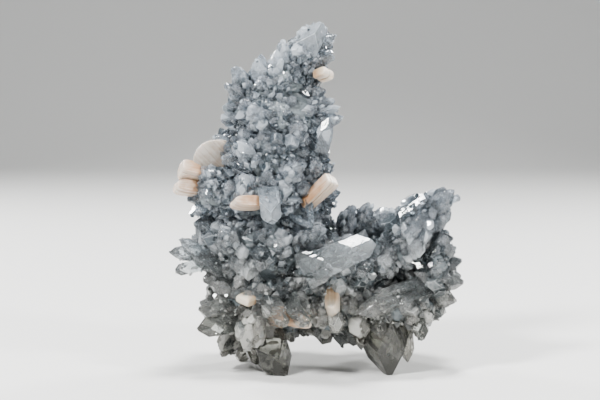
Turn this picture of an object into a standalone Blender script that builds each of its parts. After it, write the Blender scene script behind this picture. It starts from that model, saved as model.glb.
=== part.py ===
"""Apophyllite cluster with stilbite sheaves: a free-standing mineral specimen about 120 mm tall.

The apophyllite is one intergrown mass. A tower stands on the left, a wide foot spreads under it, and a lobe
with a hollow face reaches to the right. Square crystals with steep four-sided points cover all of it. Peach
stilbite grew between them as sheaves of thin blades, each sitting in its own pocket.

The lists below are in millimetres: X to the right, Y away from the viewer, Z up from the surface it stands on.
"""

import math
import random
from typing import NamedTuple

import bmesh
import bpy
from mathutils import Matrix, Vector

MM = 0.001
SEED = 17

CLUSTER = "apophyllite_cluster"
POCKET_GAP = 0.3  # clearance between a stilbite sheaf and the pocket it sits in

PYRAMID_SLOPE = math.radians(60.3)  # apophyllite's (101) face above its flat end face
GROWTH_SPREAD = 0.12  # how unevenly the four sides of one crystal grew

LUMP_CORNERS = 26  # corners of one faceted lump, spread on it in a spiral
GOLDEN_ANGLE = math.radians(137.508)

FOOT_LEVEL = 0.0  # the surface that the specimen stands on; the feet are worn flat there
FOOT_REACH = 2.0  # how far a foot crystal would have reached past that


class Lump(NamedTuple):
    """One rounded swelling of the mass under the crystals."""

    centre: tuple
    radii: tuple
    lean: float = 0.0  # degrees, the top tipped towards +X
    grain: float = 5.6  # usual width of the small crystals that grew on it


class Crystal(NamedTuple):
    """One large crystal, from where it is rooted to its point."""

    root: tuple
    tip: tuple
    width: float
    twist: float = 0.0  # degrees about its own axis
    blunt: float = 0.0  # share of the length lost to a flat end face
    flat: float = 1.0  # thickness over width
    both_ends: bool = False


class Sheaf(NamedTuple):
    """A bundle of stilbite blades that fan out from one root."""

    name: str
    root: tuple
    tip: tuple
    width: float
    blades: int
    thickness: float
    fan: float  # degrees between the outer blades
    twist: float = 0.0
    point: float = 0.35  # share of the length taken by the pointed end


LUMPS = (
    # the tower, from its leaning top down
    Lump((-4.0, 1.0, 104.5), (6.0, 6.5, 11.5), 24, 5.2),
    Lump((-14.0, 1.5, 96.0), (14.5, 9.5, 6.5), -24, 5.0),
    Lump((-13.5, 1.5, 86.0), (15.5, 11.5, 12.0), 0, 5.0),
    Lump((-16.5, 2.0, 72.0), (18.8, 13.5, 13.0), 0, 5.4),
    Lump((-17.5, 2.0, 58.0), (22.0, 16.0, 14.0), 0, 5.8),
    # the wide foot under it
    Lump((-17.0, 3.0, 43.0), (24.0, 18.5, 14.0), 0, 6.2),
    Lump((-17.0, 3.0, 24.5), (19.6, 18.0, 14.5), 0, 6.2),
    Lump((6.0, 3.0, 33.0), (19.0, 17.0, 14.5), 0, 6.0),
    Lump((7.0, 2.0, 20.6), (19.0, 16.0, 9.2), 0, 5.6),
    # the lobe on the right, raised round its hollow face
    Lump((27.0, 10.0, 36.5), (18.0, 10.0, 16.5), 0, 5.4),
    Lump((27.0, -3.0, 22.5), (16.0, 14.5, 6.5), 0, 5.6),
    Lump((40.0, -3.0, 34.5), (5.6, 12.0, 12.0), 6, 5.6),
    Lump((33.0, -3.0, 49.5), (9.0, 8.5, 5.5), -18, 5.0),
)

FRONT_CRYSTALS = (
    # the leaning top of the tower
    Crystal((-6.0, 0.0, 102.0), (1.8, -3.5, 119.6), 12.0, 20, 0.05),
    Crystal((-2.0, -2.0, 109.0), (7.2, -5.0, 113.6), 4.4, 10),
    Crystal((-3.0, -1.0, 104.5), (7.4, -6.0, 109.2), 7.5, 35, 0.1),
    Crystal((-6.0, 0.0, 93.0), (3.8, -4.0, 95.6), 6.0, 12, 0.05),
    Crystal((-6.0, 0.0, 70.0), (5.2, -4.5, 75.0), 6.4, 30, 0.05),
    Crystal((-12.0, -1.0, 101.0), (-11.6, -5.0, 113.4), 8.5, 15, 0.1),
    Crystal((-18.0, -1.0, 98.0), (-20.6, -6.0, 107.8), 7.5, 38, 0.12),
    Crystal((-24.0, -2.0, 97.0), (-28.4, -6.0, 104.6), 6.5, 30, 0.2),
    Crystal((-25.0, -2.0, 94.0), (-32.2, -5.0, 98.6), 5.0, 10, 0.15),
    # the bright prism and the small points on the tower's right edge
    Crystal((-2.0, -3.5, 71.0), (4.8, -10.5, 87.4), 5.4, 42, 0.06),
    Crystal((-4.0, -1.0, 82.5), (9.8, -5.0, 86.4), 5.4, 20),
    Crystal((-5.0, -1.0, 88.5), (6.6, -5.0, 92.0), 5.8, 40, 0.1),
    Crystal((-4.0, 0.0, 65.0), (7.0, -5.0, 70.5), 5.6, 25),
    Crystal((-4.0, -2.0, 57.0), (10.0, -6.0, 61.4), 5.6, 20),
    # big facets on the tower's face
    Crystal((-19.0, -6.0, 84.0), (-22.5, -14.5, 92.5), 7.5, 25, 0.12),
    Crystal((-8.0, -5.0, 80.0), (-5.0, -15.5, 84.0), 7.0, 5, 0.2),
    Crystal((-22.0, -7.0, 72.0), (-27.0, -17.0, 79.5), 8.5, 40, 0.15),
    Crystal((-10.0, -8.0, 66.0), (-6.5, -18.5, 71.5), 7.5, 15, 0.2),
    Crystal((-26.0, -9.0, 62.0), (-29.5, -18.5, 68.5), 8.5, 30, 0.18),
    Crystal((-16.0, -12.0, 62.5), (-14.5, -22.5, 50.5), 8.4, 8, 0.14),
    Crystal((-26.0, -2.0, 73.0), (-36.6, -5.0, 80.5), 6.6, 20, 0.15),
    Crystal((-22.0, 0.0, 83.0), (-33.6, -4.0, 86.0), 7.2, 8, 0.1),
    # the long prism and the points on the left flank
    Crystal((-29.0, -1.0, 49.0), (-42.4, -6.0, 50.2), 7.6, 18, 0.06),
    Crystal((-27.0, -3.0, 32.0), (-39.6, -8.0, 31.4), 7.6, 33, 0.1),
    Crystal((-29.0, -6.0, 30.0), (-46.2, -15.0, 47.0), 5.8, 12, 0.03),
    Crystal((-32.0, -5.0, 40.0), (-50.2, -12.0, 41.4), 5.6, 30),
    Crystal((-31.0, -6.0, 38.5), (-48.2, -13.0, 35.0), 6.4, 15, 0.06),
    Crystal((-32.0, -4.0, 58.0), (-43.8, -8.0, 53.4), 6.0, 35),
    Crystal((-28.0, -11.0, 44.0), (-31.5, -21.5, 50.5), 8.0, 20, 0.2),
    # the petals and the two feet at the lower left
    Crystal((-26.0, -9.0, 19.5), (-40.0, -18.0, 23.6), 7.8, 40, 0.05),
    Crystal((-25.0, -10.0, 18.5), (-40.8, -19.0, 16.4), 8.0, 10, 0.04),
    Crystal((-20.0, -11.0, 23.0), (-23.8, -25.0, 6.8), 11.5, 38, 0.03),
    Crystal((-24.0, -1.0, 15.0), (-33.6, -7.5, 5.2), 8.5, 25, 0.1),
    Crystal((-17.0, -13.0, 24.5), (-9.5, -26.0, 18.0), 9.5, 12, 0.05),
    Crystal((-8.0, -12.0, 25.5), (-3.6, -27.5, 19.0), 7.0, 44, 0.12),
    Crystal((-13.0, -7.0, 25.5), (0.4, -22.0, 21.2), 7.0, 30, 0.02),
    # the great double-ended crystal across the middle
    Crystal((-6.8, -13.5, 34.6), (21.2, -23.0, 48.0), 13.5, 18, 0.0, 0.85, True),
    Crystal((-3.0, -12.0, 45.0), (2.0, -19.5, 52.0), 8.0, 28, 0.25),
    # the lobe's raised rim: its upper corner
    Crystal((24.0, -5.0, 42.5), (47.8, -11.5, 63.0), 13.0, 24, 0.08),
    Crystal((22.0, -10.0, 49.0), (37.5, -14.5, 61.6), 4.2, 40, 0.02, 0.6),
    Crystal((36.0, -4.0, 56.0), (32.2, -17.5, 40.4), 14.0, 30, 0.02),
    Crystal((33.0, -4.0, 45.0), (45.4, -9.0, 56.4), 9.0, 10, 0.1),
    Crystal((34.0, -3.0, 44.5), (46.4, -8.0, 45.6), 6.5, 35, 0.05),
    Crystal((13.0, 3.0, 42.0), (18.4, -2.0, 58.4), 6.6, 15),
    Crystal((8.0, 2.0, 42.0), (12.4, -3.0, 57.2), 6.6, 30, 0.06),
    # its right-hand side
    Crystal((35.0, -6.0, 32.0), (49.8, -13.0, 31.4), 10.5, 22, 0.05),
    Crystal((35.0, -4.0, 34.0), (49.4, -9.0, 38.6), 8.0, 40, 0.06),
    Crystal((36.0, -7.0, 28.0), (47.0, -14.0, 25.0), 8.0, 12, 0.1),
    Crystal((33.0, -6.0, 25.0), (42.0, -11.5, 20.2), 7.5, 28, 0.1),
    Crystal((30.0, -6.0, 22.0), (38.6, -11.0, 16.2), 6.5, 20, 0.12),
    # its lower rim: the long smooth crystal and the points under it
    Crystal((37.0, -10.0, 28.5), (11.5, -23.5, 21.4), 13.0, 26, 0.0, 0.8),
    Crystal((33.0, -11.0, 21.0), (34.8, -20.5, 12.6), 5.2, 30),
    Crystal((20.0, -9.0, 21.0), (21.0, -19.0, 13.4), 7.8, 8, 0.06),
    Crystal((15.0, -9.0, 20.0), (15.6, -18.5, 13.6), 6.5, 30, 0.1),
    Crystal((25.5, -8.0, 20.0), (24.6, -16.0, 15.6), 4.0, 20),
    Crystal((6.0, -10.0, 22.0), (6.4, -20.5, 15.6), 4.6, 38, 0.08),
    Crystal((20.0, 0.0, 42.0), (23.5, -10.5, 34.0), 8.5, 30, 0.3),
)

HIDDEN_CRYSTALS = (
    # the back of the tower
    Crystal((-8.0, 5.0, 104.0), (-6.0, 13.0, 114.0), 8.5, 30, 0.08),
    Crystal((-18.0, 6.0, 92.0), (-24.0, 17.5, 99.0), 9.0, 12, 0.15),
    Crystal((-7.0, 8.0, 84.0), (-2.0, 20.5, 91.0), 8.5, 35, 0.1),
    Crystal((-24.0, 9.0, 74.0), (-32.0, 20.5, 80.0), 9.5, 20, 0.12),
    Crystal((-10.0, 10.0, 66.0), (-5.0, 23.0, 74.0), 10.0, 8, 0.05),
    Crystal((-28.0, 10.0, 56.0), (-37.0, 22.0, 60.0), 9.5, 42, 0.15),
    # the back of the foot and of the lobe
    Crystal((-12.0, 12.0, 45.0), (-8.0, 28.5, 53.0), 12.0, 25, 0.05),
    Crystal((-28.0, 12.0, 36.0), (-38.0, 24.0, 40.0), 9.5, 10, 0.15),
    Crystal((4.0, 12.0, 34.0), (-8.0, 27.0, 26.0), 11.5, 32, 0.0, 0.85, True),
    Crystal((16.0, 12.0, 40.0), (19.0, 27.0, 48.0), 11.0, 18, 0.1),
    Crystal((32.0, 13.0, 38.0), (41.0, 23.0, 45.0), 9.5, 40, 0.15),
    Crystal((30.0, 12.0, 26.0), (37.0, 24.0, 20.0), 9.0, 15, 0.05),
    Crystal((12.0, 10.0, 24.0), (16.0, 24.0, 18.0), 9.0, 28, 0.1),
    Crystal((-24.0, 12.0, 22.0), (-32.0, 23.5, 24.0), 8.5, 5, 0.1),
)

FEET = (
    Crystal((22.0, -6.0, 18.0), (24.4, -13.0, -FOOT_REACH), 15.5, 30),
    Crystal((-20.5, -6.0, 16.0), (-10.4, -14.5, -FOOT_REACH), 12.0, 35),
    Crystal((-24.0, 5.0, 15.0), (-27.0, 12.0, -FOOT_REACH), 9.0, 15),
    Crystal((22.0, 9.0, 19.0), (23.4, 17.0, -FOOT_REACH), 9.0, 20),
)

SHEAVES = (
    Sheaf("stilbite_fan_left", (-28.0, 5.0, 64.0), (-39.4, -1.5, 76.6), 15.0, 3, 2.2, 8, 84, 0.5),
    Sheaf("stilbite_sheaf_left_upper", (-34.5, -8.0, 66.0), (-46.9, -12.5, 69.8), 6.4, 3, 2.2, 7, 14, 0.16),
    Sheaf("stilbite_sheaf_left_lower", (-33.0, -8.0, 59.4), (-48.2, -13.0, 62.0), 6.4, 3, 1.9, 6, 24, 0.24),
    Sheaf("stilbite_sheaf_middle", (-15.0, -13.0, 57.5), (-29.2, -18.6, 58.6), 5.4, 3, 2.0, 16, 64, 0.45),
    Sheaf("stilbite_sheaf_right", (-11.0, -8.0, 54.0), (6.6, -15.5, 66.0), 6.2, 4, 1.9, 13, 62, 0.16),
    Sheaf("stilbite_block_top", (-3.0, -2.0, 99.0), (4.4, -7.0, 101.0), 5.0, 2, 2.4, 10, 30, 0.25),
    Sheaf("stilbite_block_low_left", (-23.0, -11.0, 26.5), (-26.4, -20.6, 25.2), 5.6, 2, 2.4, 18, 70, 0.25),
    Sheaf("stilbite_wedge_low_middle", (4.0, -10.0, 28.5), (4.8, -20.6, 22.6), 7.0, 3, 2.0, 22, 8, 0.5),
    Sheaf("stilbite_blade_low_edge", (-18.0, -10.5, 20.0), (-2.0, -21.5, 17.2), 4.8, 2, 1.8, 6, 82, 0.3),
    Sheaf("stilbite_sheaf_back_tower", (-20.0, 9.0, 83.0), (-28.5, 19.5, 88.5), 7.4, 4, 2.0, 24, 40, 0.25),
    Sheaf("stilbite_sheaf_back_foot", (-18.0, 12.0, 33.0), (-22.5, 27.0, 33.0), 8.0, 4, 2.2, 22, 60, 0.25),
)


def local_axes(root, tip, twist):
    """A turned frame at root whose Z runs to tip, with twist degrees about it."""
    axis = (Vector(tip) - Vector(root)).normalized()
    turn = axis.to_track_quat("Z", "Y").to_matrix().to_4x4()
    return Matrix.Translation(root) @ turn @ Matrix.Rotation(math.radians(twist), 4, "Z")


def cut_back(block, point, normal):
    """Cuts a convex block off flat beyond one growth face, and closes the cut."""
    everything = block.verts[:] + block.edges[:] + block.faces[:]
    cut = bmesh.ops.bisect_plane(
        block, geom=everything, dist=1e-5, plane_co=point, plane_no=normal, clear_outer=True
    )
    rim = [edge for edge in cut["geom_cut"] if isinstance(edge, bmesh.types.BMEdge)]
    if rim:
        bmesh.ops.contextual_create(block, geom=rim)


def block_between(low, high):
    """A rectangular block between two corners."""
    block = bmesh.new()
    bmesh.ops.create_cube(block, size=1.0)
    size = Vector(high) - Vector(low)
    middle = (Vector(high) + Vector(low)) / 2
    bmesh.ops.scale(block, vec=size, verts=block.verts)
    bmesh.ops.translate(block, vec=middle, verts=block.verts)
    return block


def add_to(mass, block, placement):
    """Moves a finished block into place and adds it to the mass as one more closed shell."""
    block.transform(placement)
    block.normal_update()
    bmesh.ops.recalc_face_normals(block, faces=block.faces)
    loose = bpy.data.meshes.new("loose_shell")
    block.to_mesh(loose)
    mass.from_mesh(loose)
    bpy.data.meshes.remove(loose)
    block.free()


def grow_crystal(mass, crystal, rng):
    """A square prism cut back by four pyramid faces that stand over its edges."""
    length = (Vector(crystal.tip) - Vector(crystal.root)).length
    half = crystal.width / 2
    left, right, near, far = (half * rng.uniform(1 - GROWTH_SPREAD, 1) for _ in range(4))
    thick = crystal.flat
    block = block_between((-left, -near * thick, 0.0), (right, far * thick, length))
    ends = [(length, 1.0)]
    if crystal.both_ends:
        ends.append((0.0, -1.0))
    for level, outward in ends:
        for quarter in range(4):
            side = math.radians(45 + 90 * quarter)
            steep = math.sin(PYRAMID_SLOPE)
            rise = math.cos(PYRAMID_SLOPE) * outward
            normal = Vector((math.cos(side) * steep, math.sin(side) * steep, rise))
            late = rng.uniform(0.0, 0.05) * length  # this face stopped growing a little sooner
            cut_back(block, (0.0, 0.0, level - outward * late), normal)
    if crystal.blunt:
        cut_back(block, (0.0, 0.0, length * (1 - crystal.blunt)), (0.0, 0.0, 1.0))
    add_to(mass, block, local_axes(crystal.root, crystal.tip, crystal.twist))


def grow_point(mass, point, rng):
    """A small crystal, of which only the steep four-sided point stands out of the mass."""
    length = (Vector(point.tip) - Vector(point.root)).length
    block = bmesh.new()
    corners = [block.verts.new((rng.uniform(-0.3, 0.3), rng.uniform(-0.3, 0.3), length))]
    for quarter in range(4):
        side = math.radians(90 * quarter)
        reach = point.width / 2 * rng.uniform(0.85, 1.1)
        corners.append(block.verts.new((math.cos(side) * reach, math.sin(side) * reach, 0.0)))
    bmesh.ops.convex_hull(block, input=corners)
    if point.blunt:
        cut_back(block, (0.0, 0.0, length * (1 - point.blunt)), (0.0, 0.0, 1.0))
    add_to(mass, block, local_axes(point.root, point.tip, point.twist))


def grow_lump(mass, lump, rng):
    """A rounded swelling, faceted and a little uneven."""
    block = bmesh.new()
    corners = []
    for index in range(LUMP_CORNERS):
        height = 1 - (2 * index + 1) / LUMP_CORNERS
        ring = math.sqrt(1 - height * height)
        turn = index * GOLDEN_ANGLE
        corner = Vector((math.cos(turn) * ring, math.sin(turn) * ring, height))
        corners.append(block.verts.new(corner * rng.uniform(1.0, 1.12)))
    bmesh.ops.convex_hull(block, input=corners)
    add_to(mass, block, lump_placement(lump))


def lump_placement(lump):
    """Carries the unit ball to the lump's ellipsoid."""
    lean = Matrix.Rotation(math.radians(lump.lean), 4, "Y")
    return Matrix.Translation(lump.centre) @ lean @ Matrix.Diagonal((*lump.radii, 1.0))


def grow_blade(mass, sheaf, index, grown, rng):
    """One thin blade of a sheaf: a slab with a pointed end, tilted by its place in the fan."""
    length = (Vector(sheaf.tip) - Vector(sheaf.root)).length * rng.uniform(0.9, 1.0)
    half = sheaf.width / 2 * rng.uniform(0.88, 1.0)
    spread = index / (sheaf.blades - 1) - 0.5
    offset = spread * sheaf.thickness * (sheaf.blades - 1) * 0.62
    thick = sheaf.thickness / 2
    low = (-half - grown, offset - thick - grown, -grown)
    high = (half + grown, offset + thick + grown, length + grown)
    block = block_between(low, high)
    rise = max(sheaf.point * length, 0.5)
    for side in (-1, 1):
        shoulder = (side * (half + grown), 0.0, length + grown - rise)
        cut_back(block, shoulder, Vector((side * rise, 0.0, half)).normalized())
    tilt = Matrix.Rotation(-math.radians(sheaf.fan) * spread, 4, "X")
    add_to(mass, block, local_axes(sheaf.root, sheaf.tip, sheaf.twist) @ tilt)


def sheaf_shells(sheaf, grown):
    """All blades of one sheaf as overlapping shells; grown makes each face stand out by that much."""
    shells = bmesh.new()
    rng = random.Random(sheaf.name)
    for index in range(sheaf.blades):
        grow_blade(shells, sheaf, index, grown, rng)
    return shells


def distance_to_axis(point, crystal):
    """How far a point lies from the line between a crystal's root and its tip."""
    root = Vector(crystal.root)
    along = Vector(crystal.tip) - root
    share = max(0.0, min(1.0, (point - root).dot(along) / along.length_squared))
    return (point - root - along * share).length


def small_crystals(rng):
    """The small crystals between the large ones, thrown on the lumps and kept where there is room.

    A point is drawn on a unit ball and carried to the lump. It is kept if it lies in no other lump and clear of
    the crystals and sheaves already there. Each crystal then points straight out of the lump, tipped at random.
    """
    inverses = [lump_placement(lump).inverted() for lump in LUMPS]
    keep_clear = [(big, big.width * 0.42) for big in FRONT_CRYSTALS + HIDDEN_CRYSTALS + FEET]
    keep_clear += [(sheaf, sheaf.width * 0.45) for sheaf in SHEAVES]
    grown = []
    for number, lump in enumerate(LUMPS):
        placement = lump_placement(lump)
        turn_out = inverses[number].transposed().to_3x3()
        for _ in range(800):
            unit = Vector((rng.gauss(0, 1), rng.gauss(0, 1), rng.gauss(0, 1))).normalized()
            point = placement @ unit
            width = lump.grain * rng.choice((0.8, 0.95, 1.1, 1.35))
            others = (inverse for place, inverse in enumerate(inverses) if place != number)
            if any((inverse @ point).length < 1.0 for inverse in others):
                continue
            if any(distance_to_axis(point, big) < room + width * 0.3 for big, room in keep_clear):
                continue
            room = 0.5 if point.y < 5 else 0.74  # more loosely set on the back
            if any((point - spot).length < (width + wide) * room for spot, wide in grown):
                continue
            grown.append((point, width))
            outward = (turn_out @ unit).normalized()
            tipped = Vector((rng.gauss(0, 1), rng.gauss(0, 1), rng.gauss(0, 1))) * 0.24
            outward = (outward + tipped).normalized()
            root = point - outward * width * 0.45
            tip = point + outward * width * rng.uniform(0.45, 0.72)
            if tip.z < FOOT_LEVEL + 2.0:
                continue
            yield Crystal(tuple(root), tuple(tip), width * 1.3, rng.uniform(0, 90), rng.choice((0.0, 0.0, 0.2)))


def object_from(name, shells, finish):
    """A scene object made from a working mesh, with its material."""
    mesh = bpy.data.meshes.new(name)
    bmesh.ops.scale(shells, vec=(MM, MM, MM), verts=shells.verts)
    shells.to_mesh(mesh)
    shells.free()
    mesh.materials.append(finish)
    made = bpy.data.objects.new(name, mesh)
    bpy.context.scene.collection.objects.link(made)
    return made


def helper_from(name, shells, finish):
    """The same, for a shape that only cuts or joins others."""
    made = object_from(name, shells, finish)
    made.hide_render = True
    made.display_type = "WIRE"
    return made


def boolean(target, operation, other):
    """One Boolean step that also joins the overlapping shells inside both meshes."""
    step = target.modifiers.new(operation.lower(), "BOOLEAN")
    step.operation = operation
    step.object = other
    step.solver = "EXACT"
    step.use_self = True


def settle(made):
    """Bakes the Boolean steps and keeps the one large body, without sealed pockets or loose crumbs."""
    graph = bpy.context.evaluated_depsgraph_get()
    mesh = bpy.data.meshes.new_from_object(made.evaluated_get(graph))
    made.modifiers.clear()
    work = bmesh.new()
    work.from_mesh(mesh)
    cut_back(work, (0.0, 0.0, FOOT_LEVEL), (0.0, 0.0, -1.0))
    bodies = connected_bodies(work)
    largest = max(bodies, key=len)
    for body in bodies:
        if body is not largest:
            bmesh.ops.delete(work, geom=body, context="VERTS")
    work.to_mesh(mesh)
    work.free()
    made.data = mesh


def connected_bodies(work):
    """The vertices of each separate closed surface."""
    waiting = set(work.verts)
    bodies = []
    while waiting:
        seed = waiting.pop()
        body = [seed]
        for vertex in body:
            for edge in vertex.link_edges:
                other = edge.other_vert(vertex)
                if other in waiting:
                    waiting.remove(other)
                    body.append(other)
        bodies.append(body)
    return bodies


def stand_on_origin(parts):
    """Moves all parts together, so that the middle of their common box stands on the origin."""
    corners = [vertex.co for part in parts for vertex in part.data.vertices]
    low = Vector(min(corner[axis] for corner in corners) for axis in range(3))
    high = Vector(max(corner[axis] for corner in corners) for axis in range(3))
    middle = (low + high) / 2
    for part in parts:
        part.data.transform(Matrix.Translation((-middle.x, -middle.y, -low.z)))


def finish_of(name, colour, roughness, transmission):
    """A plain material for one mineral."""
    finish = bpy.data.materials.new(name)
    finish.use_nodes = True
    shader = finish.node_tree.nodes["Principled BSDF"]
    shader.inputs["Base Color"].default_value = (*colour, 1.0)
    shader.inputs["Roughness"].default_value = roughness
    shader.inputs["Transmission Weight"].default_value = transmission
    shader.inputs["IOR"].default_value = 1.535
    return finish


def clear_scene():
    for old in list(bpy.data.objects):
        bpy.data.objects.remove(old)


def build():
    clear_scene()
    rng = random.Random(SEED)
    clear_mineral = finish_of("apophyllite", (0.55, 0.61, 0.65), 0.15, 0.4)
    peach_mineral = finish_of("stilbite", (0.84, 0.62, 0.47), 0.4, 0.0)

    lumps = bmesh.new()
    for lump in LUMPS:
        grow_lump(lumps, lump, rng)
    crystals = bmesh.new()
    for crystal in FRONT_CRYSTALS + HIDDEN_CRYSTALS + FEET:
        grow_crystal(crystals, crystal, rng)
    for crystal in small_crystals(rng):
        grow_point(crystals, crystal, rng)
    pockets = bmesh.new()
    for sheaf in SHEAVES:
        add_to(pockets, sheaf_shells(sheaf, POCKET_GAP), Matrix.Identity(4))

    cluster = object_from(CLUSTER, lumps, clear_mineral)
    boolean(cluster, "UNION", helper_from("crystal_shells", crystals, clear_mineral))
    boolean(cluster, "DIFFERENCE", helper_from("sheaf_pockets", pockets, peach_mineral))
    settle(cluster)
    parts = [cluster]
    for sheaf in SHEAVES:
        blades = object_from(sheaf.name, sheaf_shells(sheaf, 0.0), peach_mineral)
        speck = block_between((0.0, 0.0, -999.0), (1.0, 1.0, -998.0))
        boolean(blades, "DIFFERENCE", helper_from(sheaf.name + "_join", speck, peach_mineral))
        settle(blades)
        parts.append(blades)
    stand_on_origin(parts)


build()
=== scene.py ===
"""A free-standing cluster of apophyllite crystals with peach stilbite, 119 mm tall, on a pale table."""

import math

import bpy
import numpy as np
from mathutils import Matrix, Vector


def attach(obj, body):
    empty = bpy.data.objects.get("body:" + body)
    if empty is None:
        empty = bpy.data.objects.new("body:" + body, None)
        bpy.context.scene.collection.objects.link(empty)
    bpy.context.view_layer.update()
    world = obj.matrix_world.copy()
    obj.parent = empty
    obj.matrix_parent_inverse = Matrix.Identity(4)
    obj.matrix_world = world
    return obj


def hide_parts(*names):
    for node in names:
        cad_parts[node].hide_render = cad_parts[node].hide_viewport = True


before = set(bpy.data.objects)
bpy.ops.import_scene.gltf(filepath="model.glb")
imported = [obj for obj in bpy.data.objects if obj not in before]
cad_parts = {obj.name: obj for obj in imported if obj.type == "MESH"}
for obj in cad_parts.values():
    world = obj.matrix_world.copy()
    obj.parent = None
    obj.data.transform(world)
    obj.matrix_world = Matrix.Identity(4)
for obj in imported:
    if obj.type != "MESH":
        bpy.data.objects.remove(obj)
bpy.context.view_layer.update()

# The camera and the studio. The photograph was taken almost level, six degrees above the table, with a long
# lens that keeps the tower upright. Soft lamps stand at the upper left, at the right, above and behind, and
# the table curves up into a plain pale wall.

MM = 0.001
PLAN_SHIFT = np.array((0.18, -0.59, 0.0))  # mm, from the lists below to the frame's own origin
AIM = Vector((-5.6, -0.6, 57.7)) * MM
LENS = 90.0  # mm, on a sensor 36 mm wide
FIELD = 204.0 * MM  # width of the view at the object
ELEVATION = math.radians(6.0)


def linear(code):
    """An sRGB hex colour as linear red, green, blue and alpha."""
    parts = [int(code[i : i + 2], 16) / 255 for i in (1, 3, 5)]
    return (*[c / 12.92 if c <= 0.04045 else ((c + 0.055) / 1.055) ** 2.4 for c in parts], 1.0)


def new_material(name):
    """An empty material and its node tree."""
    material = bpy.data.materials.new(name)
    material.use_nodes = True
    material.node_tree.nodes.clear()
    return material, material.node_tree


def add_node(tree, kind, inputs=None, **settings):
    """Adds one shader node. An input is a plain value, or a socket that it's linked from."""
    node = tree.nodes.new("ShaderNode" + kind)
    for key, value in settings.items():
        setattr(node, key, value)
    for key, value in (inputs or {}).items():
        if isinstance(value, bpy.types.NodeSocket):
            tree.links.new(value, node.inputs[key])
        else:
            node.inputs[key].default_value = value
    return node


towards_camera = Vector((0.0, -math.cos(ELEVATION), math.sin(ELEVATION)))
lens = bpy.data.cameras.new("camera")
lens.lens = LENS
lens.sensor_width = 36.0
lens.clip_start = 0.01
camera = bpy.data.objects.new("camera", lens)
camera.location = AIM + towards_camera * (FIELD * LENS / 36.0)
camera.rotation_euler = (-towards_camera).to_track_quat("-Z", "Y").to_euler()
bpy.context.scene.collection.objects.link(camera)
bpy.context.scene.camera = camera


def lamp(name, place, size, power, colour="#ffffff"):
    """A square soft lamp that faces the specimen's middle."""
    light = bpy.data.lights.new(name, "AREA")
    light.size = size
    light.energy = power
    light.color = linear(colour)[:3]
    body = bpy.data.objects.new(name, light)
    body.location = place
    body.rotation_euler = (Vector((0.0, 0.0, 0.06)) - Vector(place)).to_track_quat("-Z", "Y").to_euler()
    body.visible_camera = False
    bpy.context.scene.collection.objects.link(body)


# place and width in metres, power in watts
lamp("lamp_upper_left", (-0.46, -0.42, 0.60), 0.13, 9.0)
lamp("lamp_right", (0.52, -0.36, 0.34), 0.09, 3.2)
lamp("lamp_above", (0.06, 0.02, 0.72), 0.16, 5.5)
lamp("lamp_behind_left", (-0.42, 0.46, 0.36), 0.14, 3.0)
lamp("lamp_behind_right", (0.44, 0.42, 0.40), 0.14, 3.0)

bpy.context.scene.view_settings.look = "AgX - Medium High Contrast"

world = bpy.data.worlds.new("studio")
world.use_nodes = True
world.node_tree.nodes["Background"].inputs["Color"].default_value = linear("#cfd3d8")
world.node_tree.nodes["Background"].inputs["Strength"].default_value = 0.22
bpy.context.scene.world = world

table_paint, tree = new_material("table, matt paint")
shade = add_node(tree, "BsdfPrincipled", {"Base Color": linear("#dcdcda"), "Roughness": 0.7})
add_node(tree, "OutputMaterial", {"Surface": shade.outputs[0]})

# The table's profile from front to back: flat, a quarter circle of 0.5 m radius, and the wall.
bend = np.linspace(0.0, math.pi / 2, 25)
profile = np.concatenate(
    (
        ((-8.0, 0.0),),
        np.stack((0.8 + 0.5 * np.sin(bend), 0.5 - 0.5 * np.cos(bend)), axis=1),
        ((1.3, 3.0),),
    )
)
left_edge = np.column_stack((np.full(len(profile), -8.0), profile))
sweep = np.concatenate((left_edge, left_edge * (-1, 1, 1)))
step = np.arange(len(profile) - 1)
quads = np.stack((step, step + len(profile), step + len(profile) + 1, step + 1), axis=1)
table_mesh = bpy.data.meshes.new("table")
table_mesh.from_pydata(sweep.tolist(), [], quads.tolist())
table_mesh.shade_smooth()
table_mesh.materials.append(table_paint)
table = bpy.data.objects.new("table", table_mesh)
bpy.context.scene.collection.objects.link(table)

# The mass: massive apophyllite, grey and cloudy, that all the crystals stand on. It grew as rounded
# swellings, which show only as ground between the crystals, painted dark as shade in the gaps.

# centre, radii (mm), degrees leant towards +X, and the usual width of the druse crystals on it
SWELLINGS = (
    ((-4.0, 1.0, 104.5), (6.4, 6.5, 12.0), 24, 3.0),
    ((-14.0, 1.5, 96.0), (15.0, 9.5, 7.0), -24, 3.0),
    ((-13.5, 1.5, 86.0), (16.0, 11.5, 12.0), 0, 3.2),
    ((-16.5, 2.0, 72.0), (19.4, 13.5, 13.0), 0, 3.4),
    ((-17.5, 2.0, 58.0), (22.0, 16.0, 14.0), 0, 3.6),
    ((-17.0, 3.0, 43.0), (24.0, 18.5, 14.0), 0, 4.0),
    ((-17.0, 3.0, 24.5), (19.6, 18.0, 14.5), 0, 4.4),
    ((6.0, 3.0, 33.0), (19.0, 17.0, 14.5), 0, 3.8),
    ((7.0, 2.0, 20.6), (19.0, 16.0, 9.2), 0, 4.4),
    ((27.0, 10.0, 36.5), (18.0, 10.0, 16.5), 0, 3.4),
    ((27.0, -3.0, 22.5), (16.0, 14.5, 6.5), 0, 4.4),
    ((40.0, -3.0, 34.5), (5.6, 12.0, 12.0), 6, 4.2),
    ((33.0, -3.0, 49.5), (9.0, 8.5, 5.5), -18, 3.4),
    ((-34.6, -3.6, 62.5), (6.8, 8.6, 8.4), 0, 3.0),
    ((28.0, 0.0, 37.5), (9.5, 7.0, 9.5), 0, 3.4),
)
SWELLING_GRID = (64, 40)  # points around one swelling, and from its top down


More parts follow.
